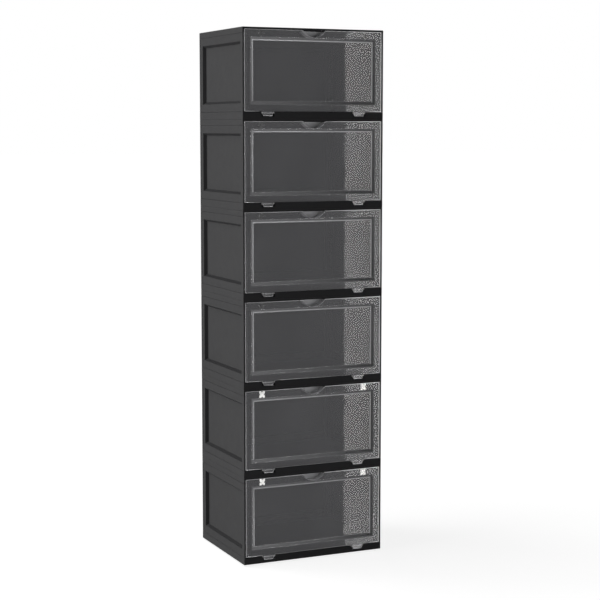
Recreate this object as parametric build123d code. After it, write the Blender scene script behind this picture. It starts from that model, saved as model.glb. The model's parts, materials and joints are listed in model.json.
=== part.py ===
"""Stack of six drop-front shoe boxes.

Every box is a base, a roof, two side walls and a back wall that slot together, and a clear door that
drops forward on two hinge tabs at its foot. The rim under each base nests in the recess of the roof
below. Units are millimetres: +X right, +Y to the back, +Z up. The origin is on the floor, under the
middle of the stack.
"""
from build123d import *
import os

# The stack
box_count = 6
width = 365.0  # one box, left to right
depth = 280.0  # door face to back face
pitch = 212.0  # from one box's seat to the next
nest = 4.0  # how far the rim under a base reaches into the roof below

# Mouldings
wall = 2.0  # thickness of the opaque mouldings
fit = 0.2  # clearance between pieces that slot together
seam = 0.6  # chamfer along the outer seams
base_height = 17.5
roof_height = 14.0
panel_depth = 9.0  # how far a wall panel's edge flange reaches inwards

# Pressed recesses
side_recess_depth = 7.0
side_recess_draft = 5.5
side_recess_margin = 13.0  # front and back
back_recess_margin = 21.0  # left and right
panel_recess_rise = 19.2  # above and below, on the side and back walls
roof_recess_depth = 5.0
roof_recess_draft = 6.0
roof_recess_margin = 21.0

# Door
door_wall = 2.5
door_gap = 0.8  # beside the door
door_foot_gap = 0.6
door_head_gap = 0.6
roof_lip = 4.0  # depth of the roof's lip above the door
front_edge = 4.0  # width of a side wall's edge beside the door
door_recess_depth = 5.5
door_recess_draft = 6.5
door_recess_margin = 16.2  # left and right, on the door
door_recess_foot = 17.0
door_recess_head = 18.3
door_standoff = 1.5  # from the door's inner face to the jamb
jamb_reach = 12.5  # how far the side jambs reach inwards
jamb_drop = 22.0  # how far the roof's jamb hangs below the top

# Finger pull in the door's top edge
pull_width = 58.0
pull_drop = 16.0
pull_depth = 20.0  # from the door's outer face
pull_wall = 2.0
pull_top_relief = 1.8  # the pocket stays below the door's top edge
pull_clearance = 3.5  # around the pocket, in the roof's jamb

# Hinge
nose_radius = 3.0  # the base's front edge is round about the hinge line
pin_radius = 1.0
pin_running = 0.08
pin_grip = 0.02
tab_inset = 64.0  # from the box's side to a tab's middle
tab_head_width = 31.0
tab_foot_width = 22.0
tab_drop = 10.6  # below the door's foot
tab_window = 34.0
tab_window_drop = 1.3  # below the tab's foot
knuckle_radius = 2.6
ear_thickness = 3.5
ear_reach = 6.0  # from the hinge line towards the back
stop_gap = 0.1  # between tab and floor, with the door down

# Magnetic catch
catch_inset = 48.0  # from the box's side to a catch's middle
catch_drop = 9.3  # from the door's top edge to a catch's middle
keeper_width = 14.0
keeper_height = 16.0
keeper_thickness = 1.0
keeper_notch_radius = 2.2
stake_radius = 1.9
stake_height = 1.0
magnet_size = 12.0
magnet_thickness = 4.0
magnet_air_gap = 0.1  # from the keeper, with the door shut
housing_wall = 2.0

# Slots, tongues and ribs
side_tongues = 3  # along each edge of a side wall
back_tongues = 4  # along each edge of the back wall
tongue_length = 40.0
tongue_thickness = 2.0
tongue_reach = 6.0
corner_hooks = 2  # on each side wall, behind the back wall's flange
hook_length = 20.0
rim_clearance = 1.0  # between the rim and the recess that it nests in
rib_thickness = 1.6
rib_height = 9.0
ribs_across = 4
ribs_along = 3

over = 1.0  # how far a cut runs past the face that it opens

# Places worked out from the sizes
right, back, front = width / 2, depth / 2, -depth / 2
wall_height = pitch - base_height - roof_height
wall_top = base_height + wall_height
side_length = depth - panel_depth
hinge_y = front + nose_radius
hinge_z = base_height - nose_radius
door_half = right - front_edge - door_gap
door_foot = base_height + door_foot_gap
door_head = pitch - roof_lip - door_head_gap
door_inner = front + door_wall
jamb_front = door_inner + door_standoff
catch_x = right - catch_inset
catch_z = door_head - catch_drop
tab_x = right - tab_inset
tab_foot = door_foot - tab_drop


def block(x, y, z):
    """A box between two values on each axis."""
    return Pos((x[0] + x[1]) / 2, (y[0] + y[1]) / 2, (z[0] + z[1]) / 2) * Box(
        x[1] - x[0], y[1] - y[0], z[1] - z[0]
    )


def rod(radius, middle_x, length, y, z):
    """A cylinder along X."""
    return Pos(middle_x, y, z) * Rot(0, 90, 0) * Cylinder(radius, length)


def both(shape):
    """The shape and its mirror image on the other side of the box."""
    return shape + mirror(shape, about=Plane.YZ)


def frustum(near, far, depth_near, depth_far):
    """A straight-sided block between two rectangles, each given as its low and high corner."""
    faces = []
    for (low, high), level in ((near, depth_near), (far, depth_far)):
        middle = ((low[0] + high[0]) / 2, (low[1] + high[1]) / 2, level)
        faces.append(Pos(*middle) * Rectangle(high[0] - low[0], high[1] - low[1]))
    return loft(Sketch() + faces, ruled=True)


def pressing(low, high, deep, draft, thickness):
    """A recess pressed in from z 0 towards +z: (what it adds behind the sheet, what it cuts)."""

    def outline(level, grow):
        inset = draft * level / deep - grow
        return (low[0] + inset, low[1] + inset), (high[0] - inset, high[1] - inset)

    slope_thickness = thickness * (1 + (draft / deep) ** 2) ** 0.5
    floor = deep + thickness
    boss = frustum(
        outline(thickness, slope_thickness),
        outline(floor, slope_thickness),
        thickness,
        floor,
    )
    return boss, frustum(outline(0, 0), outline(deep, 0), 0, deep)


def spread(count, length, first=0.0):
    """Middles of count pieces spaced evenly over a length."""
    return [first + length * (i + 0.5) / count for i in range(count)]


def chamfer_where(shape, test):
    """Chamfers the straight outer edges that pass the test, by the seam's size."""
    edges = [e for e in shape.edges() if e.geom_type == GeomType.LINE and test(e)]
    return chamfer(edges, seam)


def on(value, target):
    return abs(value - target) < 1e-4


def lies_on_outside(edge, level):
    """True for an edge at one height on the left, right or back face of a box."""
    ends = edge.vertices()
    level_ok = all(on(v.Z, level) for v in ends)
    side = all(on(abs(v.X), right) for v in ends)
    rear = all(on(v.Y, back) for v in ends)
    return level_ok and (side or rear)


# Base ------------------------------------------------------------------------------------------
def lip_profile(inset, foot):
    """The base's side outline, seen along X: upright front, round nose, flat floor."""
    radius = nose_radius - inset
    top = base_height - inset
    outline = Polyline(
        (front + inset, hinge_z),
        (front + inset, foot),
        (back - inset, foot),
        (back - inset, top),
        (hinge_y, top),
    )
    nose = RadiusArc((hinge_y, top), (front + inset, hinge_z), -radius)
    return make_face(outline.edges() + nose.edges())


def across(face, half):
    """Extrudes a face drawn in (y, z) evenly to both sides of the middle."""
    return extrude(Plane.YZ * face, half, both=True)


def stacking_rim():
    """The ring under the base that nests in the roof below."""
    inset = roof_recess_margin + roof_recess_draft + rim_clearance
    x, y = right - inset, back - inset
    outer = block((-x, x), (-y, y), (-nest, base_height - wall))
    return outer - block((-x + wall, x - wall), (-y + wall, y - wall), (-nest, base_height - wall))


def floor_ribs():
    """Thin ribs under the floor, inside the stacking rim."""
    inset = roof_recess_margin + roof_recess_draft + rim_clearance
    x, y = right - inset - wall, back - inset - wall
    z = (base_height - wall - rib_height, base_height - wall)
    half = rib_thickness / 2
    ribs = [block((-x, x), (m - half, m + half), z) for m in spread(ribs_along, 2 * y, -y)]
    ribs += [block((m - half, m + half), (-y, y), z) for m in spread(ribs_across, 2 * x, -x)]
    return ribs


def tongue_places():
    """(x or y middle along the wall) of the tongues on a side wall and on the back wall."""
    start = front + front_edge + nose_radius
    side = spread(side_tongues, back - panel_depth - start, start)
    rear = spread(back_tongues, width - 2 * panel_depth, -right + panel_depth)
    return side, rear


def tongue_slots():
    """Slots through the floor for the wall's tongues."""
    side, rear = tongue_places()
    half = tongue_length / 2 + fit
    near, deep = wall, wall + tongue_thickness + 2 * fit
    z = (0, base_height + over)
    slots = [both(block((-right + near, -right + deep), (y - half, y + half), z)) for y in side]
    slots += [block((x - half, x + half), (back - deep, back - near), z) for x in rear]
    return slots


def hinge_ears():
    """Two ears for each tab, filling the lip beside the tab's window."""
    inner, outer = tab_window / 2, tab_window / 2 + ear_thickness
    low = tab_foot - tab_window_drop
    rear = hinge_y + ear_reach
    sides = Polyline((hinge_y, base_height), (rear, base_height), (rear, low), (front, low), (front, hinge_z))
    nose = RadiusArc((front, hinge_z), (hinge_y, base_height), nose_radius)
    outline = make_face(sides.edges() + nose.edges())
    ears = []
    for start in (tab_x - outer, tab_x + inner):
        ears.append(both(Pos(start, 0, 0) * extrude(Plane.YZ * outline, ear_thickness)))
    return ears


def make_base():
    body = across(lip_profile(0, 0), right)
    body -= across(lip_profile(wall, 0), right - wall)
    body += both(block((right - front_edge, right), (front, hinge_y + wall), (0, base_height)))
    body += stacking_rim()
    body += floor_ribs()
    half = tab_window / 2
    window_foot = tab_foot - tab_window_drop
    window = block((tab_x - half, tab_x + half), (front - over, hinge_y), (window_foot, base_height + over))
    body -= both(window)
    body -= both(rod(nose_radius + door_foot_gap, tab_x, tab_window, hinge_y, hinge_z))
    body += hinge_ears()
    body -= both(rod(pin_radius + pin_grip, tab_x, tab_window + 2 * ear_thickness, hinge_y, hinge_z))
    body -= tongue_slots()
    return chamfer_where(body, lambda e: lies_on_outside(e, base_height))


# Roof ------------------------------------------------------------------------------------------
def top_jamb():
    """The strip that hangs behind the door's top edge, with the magnets' housings and room for the pull."""
    reach = right - front_edge - fit
    low = pitch - jamb_drop
    strip = block((-reach, reach), (jamb_front, jamb_front + wall), (low, pitch - wall))
    room = pull_width / 2 + pull_wall + pull_clearance
    strip -= block((-room, room), (jamb_front - over, jamb_front + wall + over), (low - over, door_head))
    half = magnet_size / 2 + housing_wall
    deep = jamb_front - magnet_lead() + magnet_thickness + housing_wall
    x, z = (catch_x - half, catch_x + half), (catch_z - half, catch_z + half)
    strip += both(block(x, (jamb_front, deep), z))
    hole = magnet_size / 2 + fit
    x, z = (catch_x - hole, catch_x + hole), (catch_z - hole, catch_z + hole)
    return strip - both(block(x, (jamb_front - over, deep - housing_wall), z))


def magnet_lead():
    """How far the magnets stand out of the jamb, towards the keepers."""
    return door_standoff - keeper_thickness - magnet_air_gap


def make_roof():
    x, y = (-right, right), (front, back)
    body = block(x, y, (wall_top, pitch))
    body -= block((-right + wall, right - wall), (front + wall, back - wall), (wall_top, pitch - wall))
    edge = right - front_edge
    body -= block((-edge, edge), (front - over, front + wall), (wall_top - over, pitch - roof_lip))
    body += both(block((edge, right), (front, front + front_edge), (wall_top, pitch)))
    corner = (right - roof_recess_margin, back - roof_recess_margin)
    boss, recess = pressing(
        (-corner[0], -corner[1]), corner, roof_recess_depth, roof_recess_draft, wall
    )
    down = Pos(0, 0, pitch) * Rot(180, 0, 0)
    body = body + down * boss - down * recess
    body += top_jamb()
    body -= both(
        block(
            (right - jamb_reach - fit, right - wall),
            (jamb_front - over, jamb_front + wall + fit),
            (wall_top - jamb_drop, wall_top),
        )
    )
    return chamfer_where(body, lambda e: lies_on_outside(e, wall_top))


# Walls -----------------------------------------------------------------------------------------
def panel(length, left_margin, right_margin):
    """A wall panel lying flat: outer face at z 0, inwards +z, with its pressed recess."""
    sheet = block((0, length), (0, wall_height), (0, wall))
    boss, recess = pressing(
        (left_margin, panel_recess_rise),
        (length - right_margin, wall_height - panel_recess_rise),
        side_recess_depth,
        side_recess_draft,
        wall,
    )
    return sheet + boss - recess


def tongues(middles):
    """Tongues along the foot and the head of a panel that lies flat."""
    half = tongue_length / 2
    z = (wall + fit, wall + fit + tongue_thickness)
    made = []
    for m in middles:
        made.append(block((m - half, m + half), (-tongue_reach, wall), z))
        made.append(block((m - half, m + half), (wall_height - wall, wall_height + tongue_reach), z))
    return made


def make_left_wall():
    """Laid flat with x from front to back and y upwards, then stood up."""
    body = panel(side_length, side_recess_margin, side_recess_margin)
    jamb_x = jamb_front - front
    low, high = (0, wall), (wall_height - wall, wall_height)
    body += block((0, jamb_x + wall), (0, wall_height), (0, front_edge))
    body += block((jamb_x, jamb_x + wall), (0, wall_height), (0, jamb_reach))
    body += block((side_length - wall, side_length), (0, wall_height), (0, panel_depth))
    body += block((jamb_x, side_length), low, (0, panel_depth))
    body += block((jamb_x, side_length), high, (0, panel_depth))
    side, _ = tongue_places()
    body += tongues([y - front for y in side])
    z = (wall + fit, wall + fit + tongue_thickness)
    for m in spread(corner_hooks, wall_height):
        y = (m - hook_length / 2, m + hook_length / 2)
        body += block((side_length - wall, side_length + tongue_reach), y, z)
    stood = Plane(origin=(-right, front, base_height), x_dir=(0, 1, 0), z_dir=(1, 0, 0)) * body
    return chamfer_where(stood, side_wall_seam)


def side_wall_seam(edge):
    """True for the left wall's outer edges along the base, the roof and the back wall."""
    ends = edge.vertices()
    outside = all(on(v.X, -right) for v in ends)
    level = all(on(v.Z, base_height) for v in ends) or all(on(v.Z, wall_top) for v in ends)
    rear = all(on(v.Y, front + side_length) for v in ends)
    return outside and (level or rear)


def make_back_wall():
    """Laid flat with x from left to right and y upwards, then stood up."""
    body = panel(width, back_recess_margin, back_recess_margin)
    rim = block((0, width), (0, wall_height), (0, panel_depth))
    body += rim - block((wall, width - wall), (wall, wall_height - wall), (0, panel_depth))
    _, rear = tongue_places()
    body += tongues([x + right for x in rear])
    stood = Plane(origin=(-right, back, base_height), x_dir=(1, 0, 0), z_dir=(0, -1, 0)) * body
    return chamfer_where(stood, back_wall_seam)


def back_wall_seam(edge):
    """True for the back wall's outer edges along the base, the roof and the side walls."""
    ends = edge.vertices()
    side = all(on(abs(v.X), right) for v in ends)
    rear = all(on(v.Y, back) for v in ends)
    level = all(on(v.Z, base_height) for v in ends) or all(on(v.Z, wall_top) for v in ends)
    side_seam = side and all(on(v.Y, back - panel_depth) for v in ends)
    return side_seam or (level and (side or rear))


# Door ------------------------------------------------------------------------------------------
def hinge_tab():
    """A tab that hangs from the door's foot, turns on its pin and stops under the floor."""
    stop = base_height - wall - stop_gap - hinge_z
    strap = block((-width, width), (front, door_inner), (tab_foot, door_foot))
    strap += block((-width, width), (front, hinge_y + stop), (tab_foot, hinge_z))
    strap += rod(knuckle_radius, 0, width, hinge_y, hinge_z)
    taper = make_face(
        Polyline(
            (-tab_head_width / 2, door_foot),
            (tab_head_width / 2, door_foot),
            (tab_foot_width / 2, tab_foot),
            (-tab_foot_width / 2, tab_foot),
            (-tab_head_width / 2, door_foot),
        )
    )
    strap &= extrude(Plane.XZ * taper, depth, both=True)
    return strap - rod(pin_radius + pin_running, 0, width, hinge_y, hinge_z)


def finger_pull():
    """(the pocket to add, the space to cut from it) of the pull in the door's top edge."""
    half = pull_width / 2
    radius = (half**2 + pull_drop**2) / (2 * pull_drop)
    turned = Pos(0, 0, door_head - pull_drop + radius) * Rot(90, 0, 0)
    rear = front + pull_depth
    pocket = turned * Cylinder(radius + pull_wall, depth * 2)
    pocket &= block((-right, right), (front, rear), (door_foot, door_head - pull_top_relief))
    space = turned * Cylinder(radius, depth * 2)
    space &= block((-right, right), (front - over, rear - pull_wall), (door_foot, pitch))
    return pocket, space


def stakes():
    """Four short posts beside each keeper, in the notches of its edges, flush with the door's top edge."""
    x, z = keeper_width / 2, keeper_height / 2
    below_head = block((0, right), (front, back), (door_foot, door_head))
    posts = []
    for dx, dz in ((x, 0), (-x, 0), (0, z), (0, -z)):
        post = Rot(90, 0, 0) * Cylinder(stake_radius, stake_height)
        post = Pos(catch_x + dx, door_inner + stake_height / 2, catch_z + dz) * post
        posts.append(both(post & below_head))
    return posts


def make_door():
    body = block((-door_half, door_half), (front, door_inner), (door_foot, door_head))
    x = door_half - door_recess_margin
    boss, recess = pressing(
        (-x, door_foot + door_recess_foot),
        (x, door_head - door_recess_head),
        door_recess_depth,
        door_recess_draft,
        door_wall,
    )
    facing = Plane(origin=(0, front, 0), x_dir=(-1, 0, 0), z_dir=(0, 1, 0))
    body = body + facing * boss - facing * recess
    pocket, space = finger_pull()
    body = body + pocket - space
    body += both(Pos(tab_x, 0, 0) * hinge_tab())
    body += stakes()
    return body


# Hardware --------------------------------------------------------------------------------------
def make_hinge_pins():
    return both(rod(pin_radius, tab_x, tab_window + 2 * ear_thickness, hinge_y, hinge_z))


def make_keeper_plates():
    x, z = keeper_width / 2, keeper_height / 2
    plate = block(
        (catch_x - x, catch_x + x), (door_inner, door_inner + keeper_thickness), (catch_z - z, catch_z + z)
    )
    for dx, dz in ((x, 0), (-x, 0), (0, z), (0, -z)):
        notch = Rot(90, 0, 0) * Cylinder(keeper_notch_radius, depth * 2)
        plate -= Pos(catch_x + dx, 0, catch_z + dz) * notch
    return both(plate)


def make_magnets():
    half = magnet_size / 2
    face = jamb_front - magnet_lead()
    x, z = (catch_x - half, catch_x + half), (catch_z - half, catch_z + half)
    return both(block(x, (face, face + magnet_thickness), z))


# The stack -------------------------------------------------------------------------------------
def one_box():
    left = make_left_wall()
    return {
        "base": make_base(),
        "roof": make_roof(),
        "left_wall": left,
        "right_wall": mirror(left, about=Plane.YZ),
        "back_wall": make_back_wall(),
        "door": make_door(),
        "hinge_pins": make_hinge_pins(),
        "keeper_plates": make_keeper_plates(),
        "magnets": make_magnets(),
    }


def main():
    os.makedirs("parts", exist_ok=True)
    pieces = one_box()
    for number in range(1, box_count + 1):
        seat = nest + (number - 1) * pitch
        for name, shape in pieces.items():
            export_step(Pos(0, 0, seat) * shape, f"parts/box{number}_{name}.step")
    for name, shape in pieces.items():
        print(name, len(shape.solids()), round(shape.volume), shape.bounding_box().size)


main()
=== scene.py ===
# %% [markdown]
# # A stack of six drop-front shoe boxes
# Each box is five dark mouldings clipped together, with a clear door that turns on two steel pins at its
# foot. The engineering model already has every piece at its true size and place. This lesson gives the
# pieces what an engineering model leaves out: rounded edges, surface grain, tint, wear and light.

# %% Load the engineering model and keep its box
import json
import math

import bmesh
import bpy
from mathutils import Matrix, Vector

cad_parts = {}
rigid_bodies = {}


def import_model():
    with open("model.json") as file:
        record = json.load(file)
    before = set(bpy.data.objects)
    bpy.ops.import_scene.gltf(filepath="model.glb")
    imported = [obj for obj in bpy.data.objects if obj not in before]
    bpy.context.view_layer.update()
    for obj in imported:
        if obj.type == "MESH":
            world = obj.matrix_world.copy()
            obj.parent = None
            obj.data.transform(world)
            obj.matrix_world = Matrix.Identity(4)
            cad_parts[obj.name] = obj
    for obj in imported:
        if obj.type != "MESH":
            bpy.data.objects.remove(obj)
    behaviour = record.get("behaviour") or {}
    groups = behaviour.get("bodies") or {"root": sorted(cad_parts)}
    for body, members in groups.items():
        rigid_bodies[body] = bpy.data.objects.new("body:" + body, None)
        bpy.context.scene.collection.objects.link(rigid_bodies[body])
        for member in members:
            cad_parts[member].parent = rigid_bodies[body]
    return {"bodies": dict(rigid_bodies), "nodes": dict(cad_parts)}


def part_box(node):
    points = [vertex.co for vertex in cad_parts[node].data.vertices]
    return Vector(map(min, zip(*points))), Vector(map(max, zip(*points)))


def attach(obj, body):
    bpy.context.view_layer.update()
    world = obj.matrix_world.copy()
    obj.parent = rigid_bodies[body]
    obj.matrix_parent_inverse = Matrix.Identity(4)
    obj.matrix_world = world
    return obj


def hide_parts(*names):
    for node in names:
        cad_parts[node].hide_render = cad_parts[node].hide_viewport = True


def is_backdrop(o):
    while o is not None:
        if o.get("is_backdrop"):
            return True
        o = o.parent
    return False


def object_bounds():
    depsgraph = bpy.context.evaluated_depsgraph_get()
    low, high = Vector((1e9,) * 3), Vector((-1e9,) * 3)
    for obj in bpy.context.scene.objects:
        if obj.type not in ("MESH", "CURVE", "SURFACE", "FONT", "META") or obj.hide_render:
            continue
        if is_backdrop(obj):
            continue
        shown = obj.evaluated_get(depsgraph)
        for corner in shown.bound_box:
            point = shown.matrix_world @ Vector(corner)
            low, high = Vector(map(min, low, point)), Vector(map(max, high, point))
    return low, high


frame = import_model()
cad_low, cad_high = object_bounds()
tiers = sorted(b for b in frame["bodies"] if "_" not in b)
overall = [round(x, 3) for x in cad_high - cad_low]
print(len(frame["nodes"]), "pieces in", len(tiers), "boxes, overall", overall, "m")

# %% [markdown]
# ## The camera
# A long lens from well back, left of the doors and above the middle, shows the doors and the left side
# together with little perspective. It is tilted down a little rather than shifted, so that the same lens
# also works from other sides. The camera is set first, so that every later step can be looked at.

# %% Place the camera
camera_place = (-1.5477, -3.4807, 1.0395)  # metres
camera_turn = 24.336  # degrees to the right of straight back
camera_dip = 6.282  # degrees below level
camera_lens = 92.8  # millimetres
camera = bpy.data.objects.new("camera", bpy.data.cameras.new("camera"))
camera.data.lens = camera_lens
camera.data.sensor_width = 36.0
camera.location = camera_place
camera.rotation_euler = (math.radians(90 - camera_dip), 0, math.radians(-camera_turn))
bpy.context.scene.collection.objects.link(camera)
bpy.context.scene.camera = camera
print("camera at", camera_place, "with a lens of", camera_lens, "mm")

# %% [markdown]
# ## Writing shader maths as plain expressions
# A material is a graph of nodes. Wiring it link by link hides the idea, so one small class wraps an output
# and lets Python's own signs add the maths nodes: `1 - mask * 0.5` becomes two of them.


# %% A signal that can be added, taken away and multiplied
class Signal:
    def __init__(self, finish, socket):
        self.finish, self.socket = finish, socket

    def _maths(self, operation, first, second):
        return self.finish.node("ShaderNodeMath", {"operation": operation}, {0: first, 1: second})

    def __add__(self, other):
        return self._maths("ADD", self, other)

    def __sub__(self, other):
        return self._maths("SUBTRACT", self, other)

    def __rsub__(self, other):
        return self._maths("SUBTRACT", other, self)

    def __mul__(self, other):
        return self._maths("MULTIPLY", self, other)

    __radd__, __rmul__ = __add__, __mul__


print("signs that add a maths node: + - *")


# %% A finish: one material with one principled surface
class Finish:
    def __init__(self, name, **uniform):
        self.material = bpy.data.materials.new(name)
        self.material.use_nodes = True
        self.tree = self.material.node_tree
        self.surface = self.tree.nodes["Principled BSDF"]
        for socket, value in uniform.items():
            self.surface.inputs[socket.replace("_", " ")].default_value = value

    def node(self, kind, settings=None, values=None, output=0):
        """Adds a node: its settings first, then its sockets' values or links. Returns one output."""
        made = self.tree.nodes.new(kind)
        for key, value in (settings or {}).items():
            if key == "stops":
                ramp = made.color_ramp.elements
                while len(ramp) < len(value):
                    ramp.new(0.5)
                for stop, (place, shade) in zip(ramp, value):
                    stop.position, stop.color = place, (shade, shade, shade, 1)
            else:
                setattr(made, key, value)
        for key, value in (values or {}).items():
            self.feed(made.inputs[key], value)
        return Signal(self, made.outputs[output])

    def feed(self, socket, value):
        if isinstance(value, Signal):
            self.tree.links.new(value.socket, socket)
        else:
            socket.default_value = value

    def drive(self, **sockets):
        for socket, value in sockets.items():
            self.feed(self.surface.inputs[socket.replace("_", " ")], value)

    def place(self, stretch=(1, 1, 1)):
        """Object coordinates, stretched."""
        here = self.node("ShaderNodeTexCoord", output=3)
        return self.node("ShaderNodeMapping", values={0: here, 3: stretch})

    def noise(self, scale, stretch=(1, 1, 1), detail=3.0, roughness=0.5):
        values = {"Vector": self.place(stretch), "Scale": scale, "Detail": detail, "Roughness": roughness}
        return self.node("ShaderNodeTexNoise", values=values)

    def ramp(self, signal, *stops):
        return self.node("ShaderNodeValToRGB", {"stops": stops}, {0: signal})

    def zone(self, name):
        """A number painted on the faces of the mesh."""
        return self.node("ShaderNodeAttribute", {"attribute_name": name}, output=2)

    def blend(self, mask, low, high):
        """One colour where the mask is 0 and another where it is 1."""
        values = {0: mask, 6: low, 7: high}
        return self.node("ShaderNodeMix", {"data_type": "RGBA"}, values, output=2)

    def bump(self, height, distance, strength=1.0, under=None):
        values = {"Height": height, "Distance": distance, "Strength": strength}
        if under is not None:
            values["Normal"] = under
        return self.node("ShaderNodeBump", values=values)


print("a finish can", [name for name in vars(Finish) if not name.startswith("_")])

# %% [markdown]
# ## Dark moulded plastic
# The shells are injection-moulded in a charcoal plastic. The mould is spark-eroded, which leaves a fine
# even grain that spreads highlights. Up close the colour is not flat: the melt leaves faint flow marks,
# hands polish the edges pale, and hairline scuffs and a little dust collect on the flat faces.


# %% Mix the dark plastic
def grey(value, blue=0.0):
    return (value, value, value * (1 + blue), 1)


def mix_dark_plastic():
    finish = Finish("charcoal_plastic", IOR=1.5, Specular_IOR_Level=0.3)
    flow = finish.noise(7.0, (1, 1, 2.6), detail=4.0)
    grain = finish.noise(1500.0, detail=2.0)
    patch = finish.noise(38.0, detail=5.0, roughness=0.62)
    hairs = finish.noise(95.0, (1, 1, 24), detail=2.0)
    scuffs = finish.ramp(hairs, (0.68, 0.0), (0.76, 1.0)) * finish.ramp(patch, (0.48, 0.0), (0.64, 1.0))
    worn = finish.zone("worn") * finish.ramp(patch, (0.3, 0.4), (0.7, 1.0))
    dust = finish.ramp(finish.noise(260.0, detail=3.0), (0.62, 0.0), (0.74, 1.0)) * patch
    tone = finish.blend(flow, grey(0.046, 0.04), grey(0.056, 0.06))
    tone = finish.blend(worn * 0.55, tone, grey(0.11, 0.04))
    tone = finish.blend(scuffs * 0.35, tone, grey(0.13, 0.03))
    tone = finish.blend(dust * 0.22, tone, grey(0.20, -0.06))
    rough = 0.38 + 0.16 * patch + 0.06 * grain - 0.08 * worn + 0.1 * scuffs
    skin = finish.bump(grain, 0.00005, 0.5)
    skin = finish.bump(flow, 0.0016, 0.18, under=skin)
    finish.drive(Base_Color=tone, Roughness=rough, Normal=skin)
    return finish.material


dark_plastic = mix_dark_plastic()
print("dark plastic has", len(dark_plastic.node_tree.nodes), "nodes")

# %% [markdown]
# ## Smoky clear plastic
# The door is one clear moulding with a smoke tint. Its flat sheet lets most light through. Its pressed
# slopes are seen through more plastic, so they cover more of what is behind them. Its edges and bends
# look milky and carry a painted highlight, pale and less clear, and the bends near its foot get painted
# shade. Numbers painted on the faces tell the finish which face is which.


# %% Mix the clear plastic
def mix_clear_plastic():
    finish = Finish("smoked_clear", IOR=1.56, Specular_IOR_Level=0.55)
    smear = finish.noise(9.0, (1, 1, 0.6), detail=5.0, roughness=0.6)
    hairs = finish.ramp(finish.noise(60.0, (1, 30, 1.5), detail=3.0), (0.66, 0.0), (0.72, 1.0))
    dust = finish.ramp(finish.noise(420.0, detail=2.0), (0.68, 0.0), (0.74, 1.0))
    slope, rim = finish.zone("slope"), finish.zone("rim")
    tone = finish.blend(smear, grey(0.28, 0.04), grey(0.35, 0.04))
    tone = finish.blend(slope, tone, grey(0.22, 0.03))
    # Painted highlight: the rims are painted pale here and made less clear below.
    tone = finish.blend(rim, tone, grey(0.86, 0.02))
    tone = finish.blend(dust * 0.5, tone, grey(0.7))
    cover = 0.155 + 0.03 * smear + 0.26 * slope + 0.66 * rim + 0.08 * dust + 0.03 * hairs
    rough = 0.012 + 0.05 * finish.ramp(smear, (0.56, 0.0), (0.76, 1.0)) + 0.05 * hairs + 0.08 * rim
    skin = finish.bump(finish.noise(9.0, detail=1.0), 0.0002, 0.02)
    finish.drive(Base_Color=tone, Alpha=cover, Roughness=rough, Normal=skin)
    return finish.material


clear_plastic = mix_clear_plastic()
print("clear plastic has", len(clear_plastic.node_tree.nodes), "nodes")

# %% [markdown]
# ## Steel and nickel
# The small metal pieces are drawn wire for the hinge pins, bright nickel on the magnets and on the catch
# plates of the two lowest boxes, and blackened steel on the catch plates above. All are brushed one way, so
# one recipe makes them: fine lines stretched along the brushing, with soft stains over them.


# %% Mix the metals
def mix_metal(name, low, high, rough, brushing):
    finish = Finish(name, Metallic=1.0)
    lines = finish.noise(700.0, brushing, detail=3.0)
    stain = finish.noise(160.0, detail=4.0)
    tone = finish.blend(finish.ramp(stain, (0.35, 0.0), (0.65, 1.0)), low, high)
    tone = finish.blend(finish.zone("worn") * 0.5, tone, high)
    finish.drive(Base_Color=tone, Roughness=rough + 0.14 * lines + 0.08 * stain,
                 Normal=finish.bump(lines, 0.00002, 0.5))
    return finish.material


along_x, along_z = (0.05, 1, 1), (1, 1, 0.06)
pin_steel = mix_metal("drawn_steel", grey(0.48), grey(0.64), 0.22, along_x)
bright_keeper = mix_metal("bright_nickel", (0.82, 0.81, 0.78, 1), (0.96, 0.96, 0.95, 1), 0.26, along_z)
black_keeper = mix_metal("blackened_steel", grey(0.05), grey(0.10), 0.36, along_z)
magnet_nickel = mix_metal("magnet_nickel", (0.58, 0.57, 0.54, 1), (0.72, 0.72, 0.70, 1), 0.2, along_x)
print("metals mixed:", [m.name for m in (pin_steel, bright_keeper, black_keeper, magnet_nickel)])

# %% [markdown]
# ## Rounded edges
# No moulding has a knife edge. Each engineering piece is copied, its loose triangles are welded and its
# flat faces joined up, and then its outer edges are rolled over by about half a millimetre. The narrow
# strips that this makes are marked as worn, because that is where hands and shelves rub. Weighted normals
# keep the big faces flat while the strips shade round. An edge with another corner close beside it is left
# sharp, because its strip would run over that corner and the face would fold over itself.

# %% Weld a copy of an engineering piece
weld_distance = 2e-6
flat_angle = math.radians(0.6)


def welded_copy(node):
    mesh = bmesh.new()
    mesh.from_mesh(frame["nodes"][node].data)
    bmesh.ops.remove_doubles(mesh, verts=mesh.verts, dist=weld_distance)
    bmesh.ops.dissolve_limit(mesh, angle_limit=flat_angle, verts=mesh.verts, edges=mesh.edges)
    return mesh


print("corners within", weld_distance * 1e6, "micrometres of each other become one")


# %% Find its outer edges
sharp_turn = math.radians(60)
nearly_on_line = 2e-5


def outer_edges(mesh, shortest):
    """Convex edges that are long and sharp enough to be rolled over."""
    return [
        edge
        for edge in mesh.edges
        if len(edge.link_faces) == 2
        and edge.is_convex
        and edge.calc_length() > shortest
        and edge.calc_face_angle() > sharp_turn
    ]


def has_room(edge, radius):
    """False where another corner of a face beside the edge is nearer to it than the rounding is wide."""
    start, end = (corner.co for corner in edge.verts)
    along = (end - start).normalized()
    for face in edge.link_faces:
        for corner in face.verts:
            reach = corner.co - start
            level = reach.dot(along)
            gap = (reach - along * level).length
            if nearly_on_line < gap < radius and 0 < level < (end - start).length:
                return False
    return True


sample = welded_copy(f"{tiers[0]}_roof")
print("a roof has", len(outer_edges(sample, 0.0)), "outer edges among", len(sample.edges))
sample.free()


# %% Roll them over
roll_steps = 2


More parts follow.
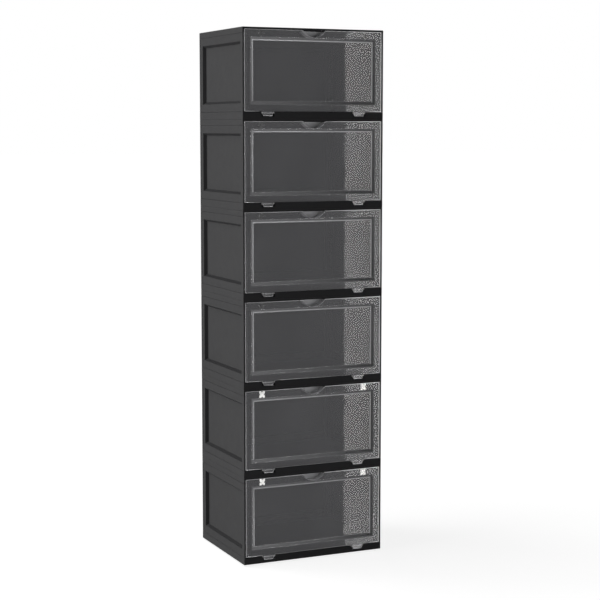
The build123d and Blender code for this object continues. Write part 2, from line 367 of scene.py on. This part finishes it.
def roll_over(mesh, edges, radius):
    edges = [edge for edge in edges if has_room(edge, radius)]
    worn = mesh.faces.layers.float.get("worn") or mesh.faces.layers.float.new("worn")
    rolled = bmesh.ops.bevel(mesh, geom=edges, offset=radius, offset_type="OFFSET", segments=roll_steps,
                             profile=0.5, affect="EDGES", clamp_overlap=False)
    for face in rolled["faces"]:
        face[worn] = 1.0
    return rolled["faces"]


print("each edge is rolled over in", roll_steps, "steps")


# %% Turn a worked mesh into a plain piece
hard_angle = math.radians(25)
rolled_angle = math.radians(80)
big_faces_first = 100


def plain_copy(holder):
    """The evaluated mesh of an object, with its modifiers used up."""
    shown = holder.evaluated_get(bpy.context.evaluated_depsgraph_get())
    plain = bpy.data.meshes.new_from_object(shown)
    holder.modifiers.clear()
    holder.data = plain
    return holder


def reads_round(edge, worn):
    """True where the two faces beside an edge should shade as one curve."""
    if len(edge.link_faces) != 2:
        return False
    rolled = any(face[worn] > 0.5 for face in edge.link_faces)
    return edge.calc_face_angle() < (rolled_angle if rolled else hard_angle)


def make_piece(mesh, name, material):
    worn = mesh.faces.layers.float.get("worn") or mesh.faces.layers.float.new("worn")
    for edge in mesh.edges:
        edge.smooth = reads_round(edge, worn)
    for face in mesh.faces:
        face.smooth = True
    data = bpy.data.meshes.new(name)
    mesh.to_mesh(data)
    mesh.free()
    data.materials.append(material)
    piece = bpy.data.objects.new(name, data)
    bpy.context.scene.collection.objects.link(piece)
    shade = piece.modifiers.new("weighted", "WEIGHTED_NORMAL")
    shade.keep_sharp = True
    shade.weight = big_faces_first
    return plain_copy(piece)


def settle(piece, body, node=None):
    """Hides the engineering piece that a piece replaces, if one is given, and hangs the piece on its body.
    """
    if node:
        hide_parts(node)
    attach(piece, body)
    return piece


print("edges under", round(math.degrees(hard_angle)), "degrees shade as one curve")

# %% [markdown]
# ## The shells
# Base, roof, side walls and back wall of each box are dark mouldings with the same treatment. The base and
# roof keep their thin ribs crisp, so only edges longer than 12 mm are rolled over, and by less on the base,
# where ribs are only 1.6 mm thick.

# %% Round the shells
shell_rounding = {"base": 0.0004, "roof": 0.0006}
shell_rounding |= {f"{side}_wall": 0.0006 for side in ("left", "right", "back")}
shortest_rounded = 0.012
shells = []
for tier in tiers:
    for part, radius in shell_rounding.items():
        node = f"{tier}_{part}"
        mesh = welded_copy(node)
        roll_over(mesh, outer_edges(mesh, shortest_rounded), radius)
        piece = make_piece(mesh, f"{node}_moulding", dark_plastic)
        shells.append(settle(piece, tier, node))
print(len(shells), "mouldings,", sum(len(p.data.polygons) for p in shells), "faces")

# %% [markdown]
# ## Ejector-pin marks
# Steel pins push each base out of its mould and leave round marks, slightly proud, between the ribs under
# the floor. They repeat on a grid, so a Geometry Nodes tree makes them: a grid of points, one shallow disc
# on each, made real and given its material. Named inputs hold the grid's size, so that one tree fits any
# floor.


# %% Build the tree
disc_corners = 32
disc_taper = 0.92


def marks_tree(material):
    tree = bpy.data.node_groups.new("ejector_marks", "GeometryNodeTree")
    for name, kind, default in (("Columns", "NodeSocketInt", 3), ("Rows", "NodeSocketInt", 2),
                                ("Width", "NodeSocketFloat", 0.15), ("Depth", "NodeSocketFloat", 0.07),
                                ("Level", "NodeSocketFloat", 0.0), ("Radius", "NodeSocketFloat", 0.004),
                                ("Height", "NodeSocketFloat", 0.0004)):
        socket = tree.interface.new_socket(name, in_out="INPUT", socket_type=kind)
        socket.default_value = default
    tree.interface.new_socket("Geometry", in_out="OUTPUT", socket_type="NodeSocketGeometry")
    given, result = tree.nodes.new("NodeGroupInput"), tree.nodes.new("NodeGroupOutput")
    grid = tree.nodes.new("GeometryNodeMeshGrid")
    disc = tree.nodes.new("GeometryNodeMeshCone")
    disc.inputs["Vertices"].default_value = disc_corners
    taper = tree.nodes.new("ShaderNodeMath")
    taper.operation = "MULTIPLY"
    taper.inputs[1].default_value = disc_taper
    lift = tree.nodes.new("ShaderNodeCombineXYZ")
    lowered = tree.nodes.new("GeometryNodeTransform")
    scatter = tree.nodes.new("GeometryNodeInstanceOnPoints")
    real = tree.nodes.new("GeometryNodeRealizeInstances")
    paint = tree.nodes.new("GeometryNodeSetMaterial")
    paint.inputs["Material"].default_value = material
    for start, end in (
        (given.outputs["Columns"], grid.inputs["Vertices X"]),
        (given.outputs["Rows"], grid.inputs["Vertices Y"]),
        (given.outputs["Width"], grid.inputs["Size X"]),
        (given.outputs["Depth"], grid.inputs["Size Y"]),
        (given.outputs["Level"], lift.inputs["Z"]),
        (given.outputs["Radius"], disc.inputs["Radius Top"]),
        (given.outputs["Radius"], taper.inputs[0]),
        (taper.outputs[0], disc.inputs["Radius Bottom"]),
        (given.outputs["Height"], disc.inputs["Depth"]),
        (grid.outputs["Mesh"], lowered.inputs["Geometry"]),
        (lift.outputs["Vector"], lowered.inputs["Translation"]),
        (lowered.outputs["Geometry"], scatter.inputs["Points"]),
        (disc.outputs["Mesh"], scatter.inputs["Instance"]),
        (scatter.outputs["Instances"], real.inputs["Geometry"]),
        (real.outputs["Geometry"], paint.inputs["Geometry"]),
        (paint.outputs["Geometry"], result.inputs["Geometry"]),
    ):
        tree.links.new(start, end)
    return tree


tree = marks_tree(dark_plastic)
sockets = {item.name: item.identifier for item in tree.interface.items_tree if item.in_out == "INPUT"}
print("the tree takes", list(sockets))

# %% Put the marks under each floor
floor_thickness = 0.002
nose_top = 0.0215  # from the foot of the rim to the top of the floor
mark_height = 0.0004
proud = 0.00025  # how far a mark's middle is below the floor's underside
rib_step = (0.07625, 0.07333)  # between the middles of two bays, to the right and to the back
for tier in tiers:
    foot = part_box(f"{tier}_base")[0].z
    holder = bpy.data.objects.new(f"{tier}_ejector_marks", bpy.data.meshes.new("marks"))
    bpy.context.scene.collection.objects.link(holder)
    maker = holder.modifiers.new("marks", "NODES")
    maker.node_group = tree
    maker[sockets["Width"]] = 2 * rib_step[0]
    maker[sockets["Depth"]] = rib_step[1]
    maker[sockets["Height"]] = mark_height
    maker[sockets["Level"]] = foot + nose_top - floor_thickness - proud
    settle(plain_copy(holder), tier)
print("marks under", len(tiers), "floors,", len(holder.data.polygons), "faces each")

# %% [markdown]
# ## The doors
# A door is a thin clear sheet with a pressed panel, a half-moon pull and two hinge tabs, all one moulding.
# Its outer edges are rolled over by 1 mm, and the bends of the pressed panel by a little more, enough to
# catch a line of light. Then each face is told what it is. Slopes are the tilted walls of the pressed
# panel. Rims carry a painted highlight, and a number from 0 to 1 says how much: most at the outer edges,
# half at the inner bends, little at the outer bends, and little near the foot, as painted shade.

# %% Roll the panel's bends
door_rounding = 0.001
bend_rounding = 0.0013
bend_turn = (math.radians(30), math.radians(50))
shortest_bend = 0.1


def panel_bends(mesh):
    """The long edges where the door's sheet bends into and out of its pressed panel."""
    bends = []
    for edge in mesh.edges:
        if len(edge.link_faces) == 2 and edge.calc_length() > shortest_bend:
            if bend_turn[0] < edge.calc_face_angle() < bend_turn[1]:
                bends.append(edge)
    return bends


sample = welded_copy(f"{tiers[0]}_door")
print("a door's panel has", len(panel_bends(sample)), "bends, front and rear together")
sample.free()


# %% Name the faces of a door
slope_tilt = (0.45, 0.9)  # how far a slope faces the front
slope_area = 2e-4
pocket_start = 0.012  # how far behind the door's face the pull's rear wall is, at least
inner_bend = 0.004  # the panel's inner bends lie further behind the door's face than this
low_bend = 0.035  # bends nearer than this to the foot of the sheet are painted as lying in shade
tab_drop = 0.0105  # how far the hinge tabs hang below the sheet
# How much painted highlight each kind of rim gets; the bends near the foot get painted shade.
painted_highlight = {"edge": 1.0, "pocket": 0.8, "inner bend": 0.5, "tab": 0.3, "outer or shaded bend": 0.1}


def paint_door(mesh, rolled, bent, face_y, foot_z):
    slope, rim = mesh.faces.layers.float["slope"], mesh.faces.layers.float["rim"]
    counts = {"slope": 0, "rim": 0}
    for face in mesh.faces:
        facing, middle = abs(face.normal.y), face.calc_center_median()
        # Inner bends away from the foot get a painted highlight; outer bends get little, and bends near the
        # foot get painted shade.
        if face in bent:
            lit = middle.y > face_y + inner_bend and middle.z > foot_z + low_bend
            face[rim] = painted_highlight["inner bend" if lit else "outer or shaded bend"]
        elif face in rolled or facing < slope_tilt[0]:
            face[rim] = painted_highlight["edge"]
        elif middle.y > face_y + pocket_start:
            face[rim] = painted_highlight["pocket"]
        elif middle.z < foot_z:
            face[rim] = painted_highlight["tab"]
        elif facing < slope_tilt[1] and face.calc_area() > slope_area:
            face[slope] = 1.0
        counts["slope"] += face[slope] > 0
        counts["rim"] += face[rim] > 0
    return counts


print("rims gather light:", painted_highlight)


# %% Make the doors
doors = []
for tier in tiers:
    node = f"{tier}_door"
    mesh = welded_copy(node)
    for zone in ("slope", "rim", "worn"):  # made first, because a new layer spoils any set of faces
        mesh.faces.layers.float.new(zone)
    bent = set(roll_over(mesh, panel_bends(mesh), bend_rounding))
    rolled = set(roll_over(mesh, outer_edges(mesh, shortest_rounded), door_rounding))
    low_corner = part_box(node)[0]
    counts = paint_door(mesh, rolled, bent, low_corner.y, low_corner.z + tab_drop)
    door = make_piece(mesh, f"{node}_clear", clear_plastic)
    doors.append(settle(door, f"{tier}_door", node))
print("each door has", counts, "faces marked and", len(door.data.polygons), "in all")

# %% [markdown]
# ## Catches and pins
# The steel plates and magnets are small, so their edges are broken by only 0.15 and 0.3 mm, which is what
# tumbling and plating leave. The hinge pins stay sharp inside their ears.

# %% Make the small metal pieces
bright_tiers = tiers[:2]
metal_pieces = []
for tier in tiers:
    bright = tier in bright_tiers
    keeper, plating = ("bright_keeper", bright_keeper) if bright else ("black_keeper", black_keeper)
    for part, body, slot, material, radius in (
        ("keeper_plates", f"{tier}_door", keeper, plating, 0.00015),
        ("magnets", tier, "magnet", magnet_nickel, 0.0003),
        ("hinge_pins", tier, "pin_steel", pin_steel, 0.0),
    ):
        node = f"{tier}_{part}"
        mesh = welded_copy(node)
        if radius:
            roll_over(mesh, outer_edges(mesh, 2 * radius), radius)
        metal_pieces.append(settle(make_piece(mesh, f"{node}_metal", material), body, node))
print(len(metal_pieces), "metal pieces")

# %% [markdown]
# ## The studio
# The stack stands on a pale floor before a pale background. The glowing floor lights every upright face a
# little from below, as white paper does. A tall softbox behind and to the left lights the left sides and
# leaves the fronts dark, which keeps the two apart. A smaller one above lights the tops.


# %% Lights
def softbox(name, place, aim, size, radiance):
    """A rectangular area light with a given brightness, which sets its power."""
    lamp = bpy.data.lights.new(name, "AREA")
    lamp.shape = "RECTANGLE"
    lamp.size, lamp.size_y = size
    lamp.energy = radiance * math.pi * size[0] * size[1]
    holder = bpy.data.objects.new(name, lamp)
    holder.location = place
    holder.rotation_euler = (Vector(aim) - Vector(place)).to_track_quat("-Z", "Y").to_euler()
    bpy.context.scene.collection.objects.link(holder)
    return holder


key = softbox("key", place=(-3.0, 2.75, 0.6), aim=(0, 0, 0.6), size=(2.0, 5.0), radiance=2.2)
high = softbox("high", place=(-1.6, 0.5, 3.7), aim=(0, 0, 0.7), size=(2.0, 2.0), radiance=3.0)
print("left side", round(key.data.energy), "W, tops", round(high.data.energy), "W")

# %% [markdown]
# ## Flagged lamps
# In a studio, black flags beside a lamp keep its light off a surface. Light linking does the same.
# Three lamps reach only the doors, so that they leave the dark lips below them alone. A narrow tall strip
# is there only to be mirrored: the doors reflect it in their right third, and that sharp-edged reflection
# makes them read as polished. One at the right skims the fronts, so that only the edges and bends which
# lean towards it light up, and one at the left picks out the left edges. A soft fill reaches only the walls,
# which would be nearly black behind the doors, and a stronger lamp only the metal. One behind shapes the
# back and the right side, and puts no light on the floor.


# %% Flagged lamps
def flag(lamp, reached):
    """Keeps a lamp's light on some pieces."""
    group = bpy.data.collections.new(f"lit_by_{lamp.name}")
    for piece in reached:
        group.objects.link(piece)
    lamp.light_linking.receiver_collection = group
    print(lamp.name, "lights", len(reached), "pieces")


strip = softbox("strip", place=(1.370, -2.429, 0.4), aim=(0.13, -0.14, 0.4), size=(0.30, 2.7), radiance=6.4)
skim = softbox("skim", place=(3.2, -0.7, 0.6), aim=(0, -0.14, 0.6), size=(1.1, 3.6), radiance=17.0)
glint = softbox("glint", place=(-3.3, -1.6, 0.6), aim=(0, -0.14, 0.6), size=(0.6, 3.6), radiance=2.2)
fill = softbox("fill", place=(1.3, -3.2, 1.0), aim=(0, 0, 0.62), size=(2.2, 2.6), radiance=0.62)
sparkle = softbox("sparkle", place=(1.2, -3.3, 0.3), aim=(0, 0, 0.62), size=(2.4, 4.0), radiance=2.2)
rear = softbox("rear", place=(2.3, 3.1, 0.9), aim=(0, 0, 0.64), size=(2.0, 3.0), radiance=9.0)
for lamp in (strip, skim, glint):
    flag(lamp, doors)
flag(fill, [piece for piece in shells if "wall" in piece.name])
flag(sparkle, metal_pieces)
flag(rear, shells + doors + metal_pieces)


# %% Background
def studio_world(seen, ambient):
    """A plain background that the camera sees bright while it lights the object only faintly."""
    world = bpy.data.worlds.new("studio")
    world.use_nodes = True
    nodes, links = world.node_tree.nodes, world.node_tree.links
    path, mix = nodes.new("ShaderNodeLightPath"), nodes.new("ShaderNodeMix")
    mix.inputs["A"].default_value, mix.inputs["B"].default_value = ambient, seen
    links.new(path.outputs["Is Camera Ray"], mix.inputs["Factor"])
    links.new(mix.outputs["Result"], nodes["Background"].inputs["Strength"])
    nodes["Background"].inputs["Color"].default_value = (1, 1, 1, 1)
    return world


bpy.context.scene.world = studio_world(seen=1.0, ambient=0.03)
bpy.context.scene.view_settings.view_transform = "Standard"
print("background", bpy.context.scene.world.name)


# %% Floor
def studio_floor(half, near_glow, far_glow, far, bounce):
    """Glowing pale paper: dimmer near the object, so that its shadow shows, and dimmer onto the object."""
    corners = [(-half, -half, 0), (half, -half, 0), (half, half, 0), (-half, half, 0)]
    sheet = bpy.data.meshes.new("studio_floor")
    sheet.from_pydata(corners, [], [(0, 1, 2, 3)])
    paint = Finish("studio_floor", Base_Color=grey(0.5), Roughness=0.9, Specular_IOR_Level=0.0)
    across = paint.place((1 / far, 1 / far, 1))
    away = paint.node("ShaderNodeVectorMath", {"operation": "LENGTH"}, {0: across}, output=1)
    seen = paint.node("ShaderNodeLightPath", output=0)
    glow = paint.blend(paint.ramp(away, (0.1, 0.0), (1.0, 1.0)), grey(near_glow), grey(far_glow))
    paint.drive(Emission_Color=glow, Emission_Strength=bounce + (1 - bounce) * seen)
    sheet.materials.append(paint.material)
    floor = bpy.data.objects.new("studio_floor", sheet)
    bpy.context.scene.collection.objects.link(floor)
    floor.visible_glossy = floor.visible_shadow = False
    floor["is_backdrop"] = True
    return floor


floor = studio_floor(half=60.0, near_glow=0.86, far_glow=1.0, far=2.0, bounce=0.33)
print("floor", [round(side) for side in floor.dimensions[:2]], "m")

# %% Compare sizes and close
bpy.context.view_layer.update()
low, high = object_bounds()
growth = (high - low) - (cad_high - cad_low)
print("grew by", [round(1000 * x, 3) for x in growth], "mm")
